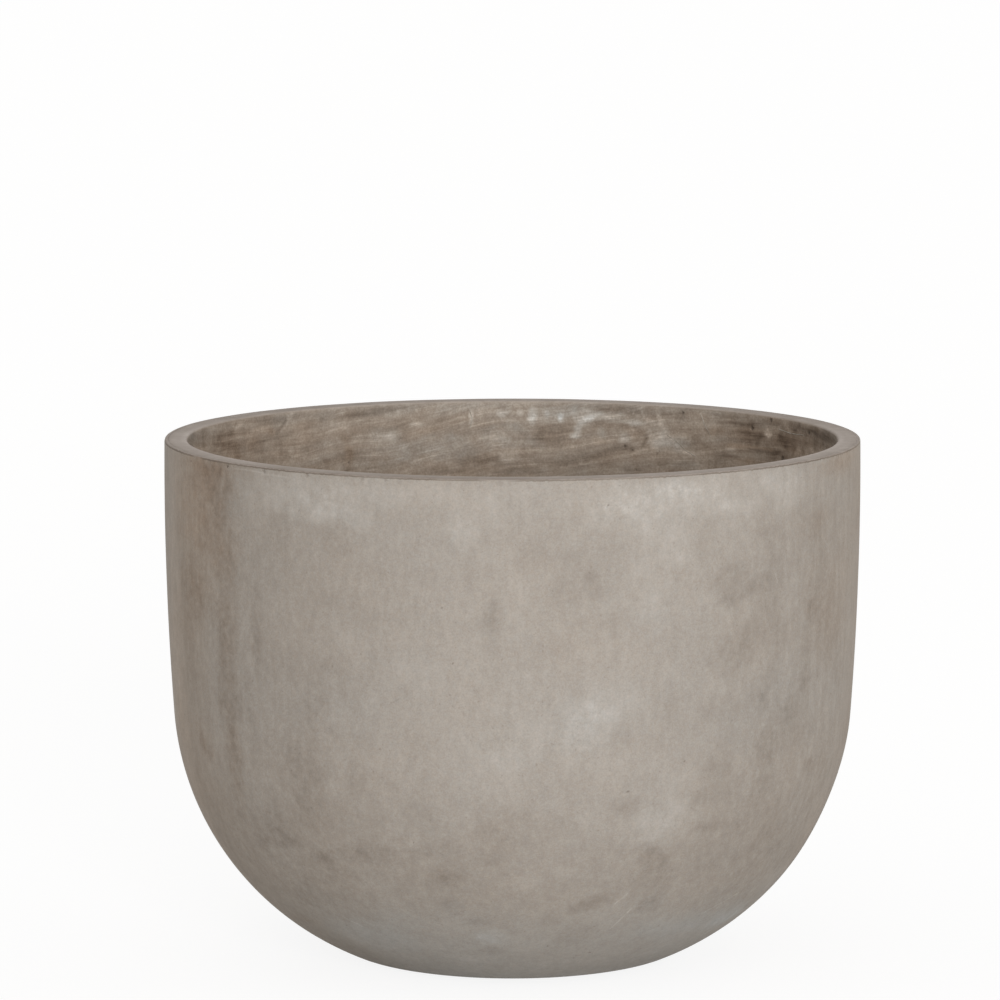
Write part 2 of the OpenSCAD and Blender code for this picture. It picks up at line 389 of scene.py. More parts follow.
arris_c = np.array([wall_r(arris_r, rim_z - arris_r), rim_z - arris_r])
arris_end = barrel_angle(arris_r, arris_c[1])
seam_r = wall_r(skin_t, rim_z)
fine_from = rim_z - fine_band
skin_z = base_z + skin_t
chamfer_z = base_z + outlet_chamfer
cast_face = swept("cast_face", [
    (line((drain_r + outlet_chamfer, base_z), (turn_c[0], base_z), 10 * MM), around_base, 1),
    (mould_curve(0, fine_from, 5.2 * MM), around_wall, 1),
    (barrel_curve(0, fine_from, rim_z - arris_r, 0.6 * MM), around_rim, 1),
    (arc(arris_c, arris_r, arris_end, -math.pi / 2, 0.4 * MM), around_rim, 1),
    (line((arris_c[0], rim_z), (seam_r, rim_z), 0.5 * MM), around_rim, 1),
    (line((seam_r, rim_z), (wall_r(skin_t, fine_from), fine_from), 8 * MM), around_rim, 0),
    (mould_curve(skin_t, fine_from, 30 * MM)[::-1], around_hidden, 0),
    (line((turn_c[0], skin_z), (drain_r, skin_z), 20 * MM), around_hidden, 0),
    (line((drain_r, skin_z), (drain_r, chamfer_z), 1 * MM), around_hidden, 0),
    (line((drain_r, chamfer_z), (drain_r + outlet_chamfer, base_z), 1 * MM), around_hidden, 1),
])
pits = [(on_wall(a, h), r * MM, d * MM) for a, h, r, d in pinholes]
bruise_height = 447
bruised = [(on_wall(a, bruise_height), r * MM, d * MM) for a, r, d in bruises]
scratched = []
for _, _, points in scratches:
    for step in np.linspace(0, 1, 6):
        spot = np.array(points[0]) * (1 - step) + np.array(points[-1]) * step
        scratched.append(on_wall(*spot))
finer(cast_face, [pit[0] for pit in pits] + scratched, 4 * MM, 3)
finer(cast_face, [bruise[0] for bruise in bruised], 4 * MM, 1)


def dented(places, dents, ragged=0.3):
    """How deep each place lies in the small dents, each a place, a radius and a depth."""
    deep = np.zeros(len(places))
    for centre, radius, depth in dents:
        away = np.linalg.norm(places - np.array(centre), axis=1)
        here = np.flatnonzero(away < 1.6 * radius)
        edge = radius * (1 + ragged * lumps(places[here], 1.6 * MM, 2, 41))
        deep[here] = np.maximum(deep[here], depth * np.clip(1 - (away[here] / edge) ** 2, 0, 1))
    return deep


# How the face differs from the mould: slow unevenness, and a flatter stretch low on the right
places, outward = places_of(cast_face)
showing = marked(cast_face, "showing")
angle = bearing(places)
height = places[:, 2]
drop = rim_z - height
slow = 0.12 + 0.1 * lumps(places, 110 * MM, 2, 1) + 0.03 * lumps(places, 22 * MM, 2, 2)
flatter = 1.1 * near(angle, 88, 50) * near(height, 0.135, 0.07)
unevenness = (np.clip(slow, 0, 0.4) + flatter) * MM
unevenness *= np.clip(drop / arris_r, 0, 1) * np.clip((height - base_z) / (20 * MM), 0.1, 1)

# The line under the arris, where the mould's lip met the float: a fine groove that holds dirt,
# and its dark colour is partly painted shade.
# It is lost where mortar ran over it, at the front and near both sides, and weak in places.
line_lost = near(angle, -2, 5) + near(angle, -61.5, 3) + 0.5 * near(angle, 18, 5)
line_lost += 0.7 * near(angle, 87, 9)
line_weight = np.clip(0.9 + 0.4 * lumps(places, 30 * MM, 3, 5), 0.3, 1) * np.clip(1 - line_lost, 0, 1)
groove = 0.35 * MM * near(drop, 1 * MM, 1 * MM) * line_weight


def rim_fall(places):
    """How far the flat of the rim lies below its highest point. It was struck off by hand, and
    is level to a quarter of a millimetre."""
    return np.clip(0.08 + 0.1 * lumps(places, 60 * MM, 2, 3), 0, 0.25) * MM


def ring_tone(places):
    """How much paler the flat of the rim is: dull in front and by the arris, rubbed inside,
    with a painted highlight on the inner edge at the front, and evenly darker at the back."""
    angle = bearing(places)
    across = (wall_r(0, rim_z) - np.hypot(places[:, 0], places[:, 1])) / wall_t
    tone = 0.3 * lumps(places, 30 * MM, 3, 21)
    for middle, half_wide, duller in ((0, 75, 0.45), (-25, 40, 0.3), (-75, 35, 0.2)):
        tone -= duller * near(angle, middle, half_wide)
    # A painted highlight on the inner edge of the rim, at the front
    tone += 0.5 * near(across, 1, 0.35) * near(angle, 2, 10) * (1 + lumps(places, 4 * MM, 2, 22))
    edges = 0.6 * near(across, 0.88, 0.3) - 0.9 * near(across, 0, 0.45)
    behind = np.clip((np.abs(angle) - 90) / 30, 0, 1)
    return tone + edges * (1 - behind) - 0.6 * behind


pit_depth = dented(places, pits)
bruise_depth = dented(places, bruised, 0.6)
sink = unevenness + groove + pit_depth + bruise_depth
shape = places - outward * (sink * showing)[:, None]
shape[:, 2] -= rim_fall(places) * near(drop, 0, 4 * MM)
cast_face.data.vertices.foreach_set("co", shape.ravel())
cast_face.data.shade_smooth()

# The long shades: darker towards both sides and lower down, painted shade where the light falls off;
# paler close under the arris; browner at both edges, partly stain and partly painted warm light;
# in the order that shaded() reads them
wall_shades = [
    (-46, 40, 0, everywhere, -0.38, 0), (55, 38, 0, everywhere, -0.34, 0),
    (0, everywhere, 115, 85, -0.26, 0), (-8, 24, 160, 60, -0.2, 0), (-40, 20, 200, 100, -0.15, 0),
    (46, 26, 440, 50, 0.3, 0), (58, 32, 45, 60, 0.3, 0), (-34, 20, 45, 40, 0.2, 0),
    (-57, 14, 110, 40, 0.2, 0), (8, 45, 434, 22, 0.32, 0), (-84, 12, 0, everywhere, 0.45, 0),
    (-66, 8, 270, 160, -0.22, 0), (-68, 18, 0, everywhere, 0, 0.3),
    (0, everywhere, 250, 60, 0, -0.15), (-76, 28, 220, 200, 0, 0.5),
    (84, 28, 0, everywhere, 0, 0.4), (-62, 13, 400, 100, 0, 0.3), (70, 12, 450, 30, 0, 0.6),
]
paler, warmer = patches(places, wall_spots + back_spots + flank_marks)
run_paler, run_warmer = patches(places, brown_runs)
shade_paler, shade_warmer = shaded(places, wall_shades)
paler = 0.72 * paler + 0.1 * run_paler + shade_paler
warmer = 0.55 * warmer + 0.2 * run_warmer + shade_warmer
# Painted light: the lowest 12 mm paler, as the white floor lights it from below
paler += 0.4 * np.clip(1 - (height - base_z) / (12 * MM), 0, 1)
underside = np.clip((95 * MM - height) / (45 * MM), 0, 1)
warmer -= 0.6 * underside * (1 - near(angle, -60, 35))
scratched_r = 250 * MM
paler += strokes(places, scratches, scratched_r)
flank = near(np.abs(angle), 62, 30) + near(np.abs(angle), 125, 30)
marks(cast_face, "paler", paler)
marks(cast_face, "warmer", warmer)
marks(cast_face, "flank", flank)
marks(cast_face, "ring", ring_tone(places))
marks(cast_face, "drop_mm", drop / MM)
marks(cast_face, "arris_line", line_weight * (showing > 0.5))
# How dark the pinholes and bruises are painted: the shade in them, and some dirt
pinhole_shade_and_dirt = np.clip(pit_depth / (0.4 * MM), 0, 1)
marks(cast_face, "pit_shade_and_dirt", pinhole_shade_and_dirt + 0.4 * np.clip(bruise_depth / (0.5 * MM), 0, 1))


def put(tree, kind, *inputs, **settings):
    """Adds a node; inputs fill its sockets in order, None leaving one as it is."""
    node = tree.nodes.new("ShaderNode" + kind)
    for key, value in settings.items():
        setattr(node, key, value)
    sockets = [s for s in node.inputs if s.enabled]
    for socket, value in zip(sockets, inputs):
        if isinstance(value, bpy.types.NodeSocket):
            tree.links.new(value, socket)
        elif value is not None:
            socket.default_value = value
    return next(s for s in node.outputs if s.enabled)


def calc(tree, operation, *inputs):
    """Adds a node that reckons with its inputs."""
    return put(tree, "Math", *inputs, operation=operation)


def times(tree, first, second):
    """One value times another."""
    return calc(tree, "MULTIPLY", first, second)


def total(tree, *inputs):
    """Adds up any number of values."""
    value = inputs[0]
    for more in inputs[1:]:
        value = calc(tree, "ADD", value, more)
    return value


def mixed(tree, share, first, second, blend="MIX"):
    """Mixes two colours, each a colour socket or three numbers."""
    colours = [c if isinstance(c, bpy.types.NodeSocket) else (*c, 1) for c in (first, second)]
    return put(tree, "Mix", share, *colours, data_type="RGBA", blend_type=blend)


def spread(tree, value, low, high, to_low=0.0, to_high=1.0, ends="SMOOTHSTEP"):
    """Stretches the values between low and high over to_low to to_high."""
    return put(tree, "MapRange", value, low, high, to_low, to_high, interpolation_type=ends)


def grain(tree, place, size, detail=2.0, roughness=0.5, distortion=0.0):
    """Noise from 0 to 1 with lumps of about that size."""
    return put(tree, "TexNoise", place, 1 / size, detail, roughness, 2.0, distortion)


def swing(tree, place, size, amount, detail=2.0, roughness=0.5):
    """Noise about 0 that reaches amount to either side where it is strongest."""
    noise_here = grain(tree, place, size, detail, roughness)
    return spread(tree, noise_here, 0.2, 0.8, -amount, amount, "LINEAR")


def stretched(tree, place, x, y, z):
    """The place with its three directions scaled, which draws noise out long or squeezes it."""
    return put(tree, "Mapping", place, None, None, (x, y, z))


def mark(tree, name):
    """Reads what marks() kept."""
    node = tree.nodes.new("ShaderNodeAttribute")
    node.attribute_name = name
    return node.outputs["Fac"]


def new_paint(name, roughness, specular=0.5):
    """A material with one shader; returns it, its tree and the shader."""
    paint = bpy.data.materials.new(name)
    paint.use_nodes = True
    shader = paint.node_tree.nodes["Principled BSDF"]
    shader.inputs["Roughness"].default_value = roughness
    shader.inputs["Specular IOR Level"].default_value = specular
    return paint, paint.node_tree, shader


def object_place(tree):
    """The place on the object, in metres, that all noise is laid out in."""
    return tree.nodes.new("ShaderNodeTexCoord").outputs["Object"]


def dress(tree, shader, colour, strength, depth, relief):
    """Gives a shader its colour, and relief of that depth on top of its roughness."""
    tree.links.new(colour, shader.inputs["Base Color"])
    tree.links.new(put(tree, "Bump", strength, depth, None, relief), shader.inputs["Normal"])


def toned(tree, colour, paler, warmer, contrast=1.0):
    """A colour of three numbers, paler or darker and warmer or bluer. Pale marks on concrete
    are a little lilac and dark ones a little olive, so the three channels differ."""
    channels = []
    for level, base, tint in zip(colour, (1.28, 1.31, 1.34), (0.23, -0.04, -0.25)):
        exponent = calc(tree, "MULTIPLY_ADD", warmer, tint, paler)
        channels.append(times(tree, calc(tree, "POWER", base**contrast, exponent), level))
    return put(tree, "CombineColor", *channels)


def rim_colour(tree, place):
    """The floated flat of the rim: smoother than the cast face, softly clouded, faintly lilac."""
    clouds = total(tree, swing(tree, place, 26 * MM, 0.5, 3, 0.6), swing(tree, place, 6 * MM, 0.25),
                   swing(tree, place, 1.6 * MM, 0.2))
    return toned(tree, (0.47, 0.414, 0.371), total(tree, clouds, mark(tree, "ring")), 0.0)


face_paint, tree, shader = new_paint("face_concrete_cast", 0.82, 0.3)
place = object_place(tree)
runs_place = stretched(tree, place, 1, 1, 0.07)
runs = times(tree, swing(tree, runs_place, 7 * MM, 0.3, 3, 0.6), mark(tree, "flank"))
tall_place = stretched(tree, place, 1, 1, 0.5)
clouds = total(tree, swing(tree, place, 45 * MM, 0.32, 4, 0.6),
               swing(tree, tall_place, 8 * MM, 0.33, 3, 0.6),
               swing(tree, place, 3.2 * MM, 0.22, 2), swing(tree, place, 1.3 * MM, 0.43, 2))
speck = spread(tree, grain(tree, place, 2.6 * MM, 1, 0.4), 0.70, 0.78, 0.0, -0.8)
patchy = spread(tree, grain(tree, place, 7 * MM, 4, 0.65), 0.3, 0.7, 0.5, 1.5, "LINEAR")
paler = total(tree, times(tree, mark(tree, "paler"), patchy), clouds, runs, speck)
warmer = total(tree, mark(tree, "warmer"), swing(tree, place, 70 * MM, 0.2, 3),
               swing(tree, place, 3 * MM, 0.38))
colour = toned(tree, (0.402, 0.3625, 0.322), paler, warmer)
drop_mm = mark(tree, "drop_mm")
colour = mixed(tree, spread(tree, drop_mm, 0.05, 0.9, 1.0, 0.0), colour, rim_colour(tree, place))
# The dark line under the arris: dirt, and painted shade in its groove
ragged = total(tree, drop_mm, swing(tree, place, 3.2 * MM, 0.45, 3, 0.6))
line_share = times(tree, spread(tree, ragged, 0.2, 0.7), spread(tree, ragged, 1.5, 2.0, 1.0, 0.0))
line_share = times(tree, line_share, mark(tree, "arris_line"))
colour = mixed(tree, times(tree, line_share, 0.85), colour, (0.17, 0.135, 0.105))
# The pinholes and bruises painted dark: the shade in them, and dirt
colour = mixed(tree, times(tree, mark(tree, "pit_shade_and_dirt"), 0.75), colour, (0.15, 0.12, 0.095))
broad_relief = spread(tree, grain(tree, place, 12 * MM, 2), 0, 1, 0, 2, "LINEAR")
relief = total(tree, grain(tree, place, 2.0 * MM, 3, 0.6), broad_relief)
dress(tree, shader, colour, 0.22, 0.4 * MM, relief)
cast_face.data.materials.append(face_paint)

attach(cast_face, "planter")
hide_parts("face_coat")

# ---- Hand-laid inner coat ----------------------------------------------------------------
# The rough inside: 15 mm of fibre mortar, pressed by hand on the glass mat and floated over.
# It makes most of the flat rim, whose inner edge was rubbed round while the mortar was green.

floor_z = base_z + wall_t
lip_r = 2.5 * MM
seat_r = 26 * MM
seat_z = floor_z - 5 * MM
seat_chamfer = 2 * MM
mat_t = 2 * MM
mat_top = rim_z - 14 * MM
mat_hole_r = 25 * MM
inside_r = 280 * MM
fine_inside = 92 * MM

# Dark, brown and olive marks left by the float and the first waterings, from left to right.
# Those at the right end are partly painted shade, and those over the air holes painted shade
inside_dark = [
    (258, 438, 3, 8, -0.5, -0.2), (255, 437, 1.5, 6, -1, 0), (250, 431, 1.5, 6, -1, 0.2),
    (249, 437, 4, 5, -0.9, 0.2), (248, 428, 4, 8, -0.8, 0.2), (247, 432, 2, 4, -1.1, 0.2),
    (243, 436, 2, 4, -0.7, 0.2), (243, 430, 6, 12, -1.6, 0.4), (242, 420, 5, 8, -0.7, 0.4),
    (237, 424, 4, 8, -0.7, 0.5), (234, 418, 2.5, 3, -0.7, -0.2), (233, 427, 4, 5, -0.3, 0.2),
    (232, 436, 4, 8, -0.2, 0.5), (230, 433, 1.5, 3, -0.3, 0.6), (228, 417, 0.7, 8, -0.9, 0),
    (228, 431, 4, 9, -0.35, 0), (227, 410, 1, 4, -0.9, 0), (224, 408, 1.3, 6, -0.5, 0.3),
    (224, 423, 5, 9, -1, 0.1), (218, 397, 5, 6, -0.4, 0.3), (216.5, 401, 1.5, 3, -0.6, 0.5),
    (215, 405, 6, 10, -0.35, 0), (213, 421, 1.5, 4, -0.8, 0.6), (212, 405, 0.9, 12, -0.5, 0.8),
    (212, 392, 2, 3, -1, 0), (212, 402, 4, 6, -0.6, 0), (211.5, 430, 0.9, 10, -0.5, 0),
    (209, 441, 3, 2, -0.4, 0), (207, 393, 4, 4, -0.4, 0.1), (205, 445, 3, 4, -0.5, 0.1),
    (205, 437, 3, 4, -0.2, 0.3), (197, 390, 4, 5, -0.2, -0.2), (192, 433, 3, 6, -0.4, 0.2),
    (190, 404, 5, 8, -0.3, 0), (190, 387, 5, 4, -0.8, 0.3), (187, 395, 4, 5, -1.1, 0),
    (184, 391, 2.5, 4, -0.8, 0.2), (180, 391, 12, 9, -0.3, 0.1), (177, 398, 1.5, 2, -0.7, 0),
    (177, 387, 3, 4, -0.7, 0), (176.5, 393, 3, 7, -0.3, 0.1), (174.5, 416, 4, 7, -0.6, 0.2),
    (174, 418, 4, 7, -0.6, 0.3), (174, 423, 1.5, 3, -0.9, 0.1), (172, 400, 5, 8, -0.6, 0),
    (171, 411, 5, 5, -0.4, 0.4), (170, 423, 2, 3, -0.7, 0.2), (170, 392, 5, 3, -0.6, 0),
    (164, 400, 5, 6, -0.4, 0.2), (163, 444, 6, 2, -0.5, 0.4), (162.5, 395, 3, 6, -0.6, 0.1),
    (160, 392, 4, 3, -0.8, 0.1), (158.5, 409, 2.4, 5, -1.4, 0), (157, 389, 2, 1.5, -0.9, 0),
    (157, 403, 3, 4, -0.2, 0.4), (154, 417, 0.8, 10, -0.5, 0), (150.5, 397, 2.2, 3, -0.9, 0.2),
    (148.5, 391, 2, 2, -1, 0.2), (146.5, 444, 0.8, 4, -0.9, 0), (145, 415, 2.5, 6, -0.7, 0),
    (142.5, 420, 2, 5, -0.5, 0.2), (140, 402, 3, 3, -0.4, -0.2), (139, 431, 2, 5, -0.3, 0.7),
    (138, 408, 3, 3, -1, 0), (134, 438, 4, 1.5, -0.8, 0.1), (133, 427, 6, 14, -0.7, 0.2),
    (132, 430, 3, 8, -1, 0.2), (130.5, 424, 2, 4, -1.4, 0.1), (129, 435, 2.5, 9, -1.9, 0),
    (128, 427, 3, 5, -0.8, 0), (124, 444, 3, 3, -1, 0), (124, 424, 5, 14, -0.7, 0.1),
    (124, 416, 4, 8, -0.7, 0), (122, 414, 4, 5, -2, 0), (122, 428, 4, 6, -1.4, 0.1),
    (119, 443, 5, 2, -0.3, 0.4), (119, 428, 4, 12, -0.9, 0), (117, 432, 5, 12, -2, 0),
    (110, 438, 6, 10, -1.9, 0), (104, 442, 6, 10, -1.6, 0), (97, 444, 6, 9, -1, 0),
]
# Pale bloom and smears of cream that the float brought up
inside_pale = [
    (250, 446, 4, 2, 0.6, 0), (239, 442, 3, 3, 0.6, 0), (233, 437, 3, 2.5, 0.7, 0),
    (225.5, 445, 0.9, 4, 0.9, 0), (218, 441, 4, 5, 0.3, -0.2), (214, 431, 3, 5, 0.4, 0),
    (213.5, 444, 0.9, 3, 0.8, -0.2), (205, 397, 7, 8, 0.3, -0.25), (204, 413, 7, 12, 0.5, -0.4),
    (203, 419, 4, 8, 0.2, -0.1), (198, 429.5, 1.8, 2.5, 1.2, -0.2), (197, 398, 1.8, 1.6, 0.9, -0.1),
    (194, 416, 4, 9, 0.25, -0.2), (193, 405, 9, 12, 0.35, -0.5), (187.7, 432, 0.5, 8, 1, -0.3),
    (187, 448.5, 1.4, 1.2, 1.2, -0.3), (186, 437, 0.6, 4, 0.7, 0), (183, 415, 3, 4, 0.6, -0.1),
    (182, 438, 1.1, 4, 0.9, -0.3), (181, 406, 4, 6, 0.3, 0.1), (180.8, 441, 0.7, 4, 0.8, -0.3),
    (180, 425, 4, 12, 0.2, 0), (179, 418, 8, 13, 0, -0.5), (178.5, 439, 0.6, 3, 1, -0.3),
    (176.2, 435, 0.9, 8, 1, -0.5), (173.5, 437, 0.6, 4, 0.9, -0.5), (173, 431, 4, 3, 0.4, -0.2),
    (173, 437, 4, 8, 0.6, -0.3), (171, 436, 0.6, 4, 1, -0.5), (170, 440, 4, 6, 0.7, -0.3),
    (168, 418, 1.5, 2.5, 1.1, -0.6), (167.5, 425, 1.1, 5, 0.8, -0.6),
    (166.7, 433, 2.1, 5, 1.1, -0.6), (166.5, 440, 2, 2, 0.5, 0), (166, 432, 3, 6, 0.5, -0.3),
    (166, 418, 3, 9, 0.3, -0.2), (165, 415, 3, 5, 0.1, 0.3), (163, 421, 1.1, 5, 1, -0.5),
    (163, 438, 4, 7, 0.7, -0.3), (163, 437, 4, 8, 0.5, -0.2), (158.5, 418, 1.3, 6, 0.9, -0.5),
    (158, 433, 3, 3, 0.9, -0.4), (157, 425, 2.5, 5, 0.1, 0.3), (155, 433, 5, 3, 0.5, -0.2),
    (150.5, 427, 1.5, 5, 0.6, -0.3), (150, 418, 5, 9, 0.8, -0.4), (145, 396, 4, 4, 0.1, -0.2),
    (143, 404, 4, 7, 0.35, 0), (142, 440, 3, 5, 0.3, 0), (134, 418, 2.5, 3, 0.5, 0.6),
    (130, 405, 5, 4, 0.1, 0.5), (128, 419, 4, 1.2, 0.2, 0.7), (125.5, 434, 1.2, 4, 1.6, 0),
    (115, 424, 1, 2, 1.2, 0), (105, 436, 1, 3, 0.8, 0.1),
]
# Broad shades inside: pale at the far right, warmer at both ends, cooler close under the lip
inside_shades = [
    (109, 18, 0, everywhere, 0.6, 0), (120, 35, 0, everywhere, 0, 0.45),
    (243, 25, 0, everywhere, 0, 0.3), (0, everywhere, 447, 16, 0, -0.35),
]


def again_in_front(spots):
    """The marks of the back half, and the same ones again on the half that faces them."""
    return spots + [(180 - spot[0], spot[1] - 6, *spot[2:]) for spot in spots if 110 < spot[0] < 250]


# Where the float's edge passed: half width in mm, how much paler, and the points it went by
float_lines = [
    (3, -1, [(226.8, 441), (227.5, 437), (229, 431)]), (3, 0.6, [(240, 444), (238, 440), (236, 436)]),
    (3.5, -0.5, [(224, 436), (214, 441), (205, 440)]), (3, 0.6, [(205, 438), (190, 443), (183, 442)]),
    (2.5, -0.5, [(188.4, 440), (188.6, 425)]), (3, 0.5, [(202, 441), (195, 444), (183, 446)]),
    (3, 0.6, [(184, 392), (180, 396), (176, 396)]), (5, -1.1, [(172, 390), (166, 397), (161, 406)]),
    (2.5, 0.9, [(171, 389), (161, 398), (152, 411)]), (3, 0.5, [(176, 404), (168, 408), (161, 415)]),
    (2.5, 0.5, [(182, 400), (172, 406), (166, 412)]), (3, -0.6, [(165, 428.5), (157, 428.5)]),
    (3, -0.6, [(163, 441), (155, 440.5), (147, 439.5)]),
    (2.5, 0.9, [(152, 446), (151.5, 441), (151, 436)]),
    (2.5, 0.7, [(155, 447), (155, 440), (153, 434)]), (2.5, 0.6, [(148.5, 443), (148.5, 436)]),
    (3, 0.5, [(154, 422), (149, 422.5), (145, 423)]), (3, -0.6, [(143, 439.5), (137, 439), (130, 438)]),
    (3, -1, [(134, 415), (128, 416), (122, 418)]), (2.5, 0.7, [(118, 435), (112, 436), (106, 437)]),
    (3, 0.5, [(252, 445), (246, 443), (241, 441)]), (3, -0.5, [(236, 424), (229, 427), (221, 433)]),
    (3, 0.4, [(234, 421), (227, 425), (219, 431)]), (3, -0.6, [(199, 384), (190, 384), (180, 386)]),
    (2.5, -1, [(166, 430), (160.5, 431.5), (156.5, 428), (154, 419.5), (155, 411)]),
    (1.8, 1, [(152.5, 446), (151.5, 435), (149.8, 423), (147.2, 411), (144.5, 406)]),
    (2, 0.8, [(157, 441), (154, 435), (151.5, 431)]), (2, -0.8, [(143, 419), (138, 409), (134, 408)]),
    (2, 0.8, [(117, 446), (114.8, 438), (111, 434)]), (2, 0.8, [(126, 438), (124.5, 433), (125.5, 428)]),
]

lip_c = np.array([wall_r(wall_t - lip_r, rim_z - lip_r), rim_z - lip_r])
lip_end = -barrel_angle(wall_t - lip_r, rim_z - lip_r)
seam_gap = 0.03 * MM
seam_foot_r = wall_r(skin_t, mat_top) - seam_gap
mat_low = skin_z + mat_t
mat_end_r = wall_r(skin_t + mat_t, mat_top)
fine_to = rim_z - fine_inside
laid_coat = swept("laid_inner_coat", [
    (line((seam_r - seam_gap, rim_z), (lip_c[0], rim_z), 1.9 * MM), around_rim, 1),
    (arc(lip_c, lip_r, -math.pi / 2, -math.pi - lip_end, 0.8 * MM), around_rim, 1),
    (barrel_curve(wall_t, fine_to, rim_z - lip_r, 2.2 * MM)[::-1], around_rim, 1),
    (mould_curve(wall_t, fine_to, 9 * MM)[::-1], around_wall, 1),
    (line((turn_c[0], floor_z), (seat_r + seat_chamfer, floor_z), 6 * MM), around_base, 1),
    (line((seat_r + seat_chamfer, floor_z), (seat_r, floor_z - seat_chamfer), 1 * MM), around_base, 0),
    (line((seat_r, floor_z - seat_chamfer), (seat_r, seat_z), 1 * MM), around_base, 0),
    (line((seat_r, seat_z), (drain_r, seat_z), 3 * MM), around_base, 0),
    (line((drain_r, seat_z), (drain_r, skin_z), 3 * MM), around_base, 0),
    (line((drain_r, skin_z), (mat_hole_r, skin_z), 6 * MM), around_hidden, 0),
    (line((mat_hole_r, skin_z), (mat_hole_r, mat_low), 2 * MM), around_hidden, 0),
    (line((mat_hole_r, mat_low), (turn_c[0], mat_low), 20 * MM), around_hidden, 0),
    (mould_curve(skin_t + mat_t, mat_top, 30 * MM), around_hidden, 0),
    (line((mat_end_r, mat_top), (seam_foot_r, mat_top), 2 * MM), around_hidden, 0),
    (line((seam_foot_r, mat_top), (seam_r - seam_gap, rim_z), 5 * MM), around_rim, 0),
])
# Holes where air stayed under the mortar: a bearing, a height, a radius and a depth in mm
air_holes = [
    (247, 432, 1.3, 1), (243, 436, 1, 0.7), (212, 398, 1.4, 1), (158.5, 410, 1.6, 1.2),
    (157, 407, 1.1, 0.8), (124.5, 446, 2, 1.6), (130, 436, 2.4, 1.6), (121, 413, 2.6, 1.6),
    (146.5, 444, 1.5, 1), (230, 433, 0.9, 0.6), (111, 441, 2.2, 1.6),
]
stray_holes = 50
for _ in range(stray_holes):
    air_holes.append((chance.uniform(0, 360), chance.uniform(40, 440),
                      chance.uniform(0.5, 1.2), chance.uniform(0.4, 0.9)))
holes = [(on_wall(a, h, wall_t), r * MM, d * MM) for a, h, r, d in air_holes]
finer(laid_coat, [hole[0] for hole in holes if hole[0].z > fine_to], 3 * MM, 2)
finer(laid_coat, [hole[0] for hole in holes if hole[0].z <= fine_to], 6 * MM, 4)

places, outward = places_of(laid_coat)
showing = marked(laid_coat, "showing")
height = places[:, 2]
drop = rim_z - height
from_back = np.arctan2(places[:, 0], places[:, 1])
rising = inside_r * (0.08 * np.sin(from_back) + 0.05 * np.sin(2 * from_back - math.radians(10)))
sweep = np.stack([places[:, 0] * 0.07, places[:, 1] * 0.07,
                  height - rising + 7 * MM * lumps(places, 90 * MM, 2, 8)], 1)
on_flat = near(drop, 0, 2 * lip_r)

# The float left long low ridges, thin ones over broad ones; between them the mortar sagged
ridges = 0.5 * lumps(sweep, 12 * MM, 2, 9) + 0.35 * lumps(sweep, 4.5 * MM, 2, 10)
hollows = lumps(places, 45 * MM, 2, 11)
pimples = lumps(places, 7 * MM, 3, 12)
drawn = strokes(places, float_lines, inside_r)
rough = 0.35 - 0.55 * ridges - 0.3 * hollows - 0.28 * pimples - 0.35 * drawn
hole_depth = dented(places, holes, 0.5)
wall_share = showing * np.clip((drop - lip_r) / (5 * MM), 0.0, 1)
sink = np.clip(rough, -0.35, 1.8) * MM * wall_share + hole_depth
sink += 0.15 * MM * showing * np.clip(drop / lip_r, 0, 1)
shape = places - outward * (sink * showing)[:, None]
shape[:, 2] -= rim_fall(places) * on_flat
laid_coat.data.vertices.foreach_set("co", shape.ravel())
laid_coat.data.shade_smooth()

dark_paler, dark_warmer = patches(places, again_in_front(inside_dark), 1.2)
pale_paler, pale_warmer = patches(places, again_in_front(inside_pale), 1.2)
shade_paler, shade_warmer = shaded(places, inside_shades)
paler = 0.68 * dark_paler + 0.9 * pale_paler + 0.8 * drawn + shade_paler
warmer = 0.5 * dark_warmer + pale_warmer + shade_warmer
# Painted shade: the inside darker further down, from about 75 mm below the rim
deep_down = np.clip((drop - 75 * MM) / (120 * MM), 0, 1)
off_back = np.clip((np.abs(np.degrees(from_back)) - 8) / 20, 0, 1)
paler -= 0.35 * near(drop, 5 * MM, 10 * MM) * off_back
below_lip = 1 - near(drop, 0, lip_r)
marks(laid_coat, "paler", paler * below_lip - 0.35 * deep_down)
marks(laid_coat, "warmer", warmer * below_lip)
marks(laid_coat, "ring", ring_tone(places))
marks(laid_coat, "flat_rim", near(drop, 0, 0.85 * lip_r))
marks(laid_coat, "ridge", -rough * wall_share)
# How dark the air holes are painted: the shade in them, and dirt
marks(laid_coat, "pit_shade_and_dirt", np.clip(hole_depth / (0.8 * MM), 0, 1))
sweeping = laid_coat.data.attributes.new("sweep", "FLOAT_VECTOR", "POINT")
sweeping.data.foreach_set("vector", sweep.astype(np.float32).ravel())

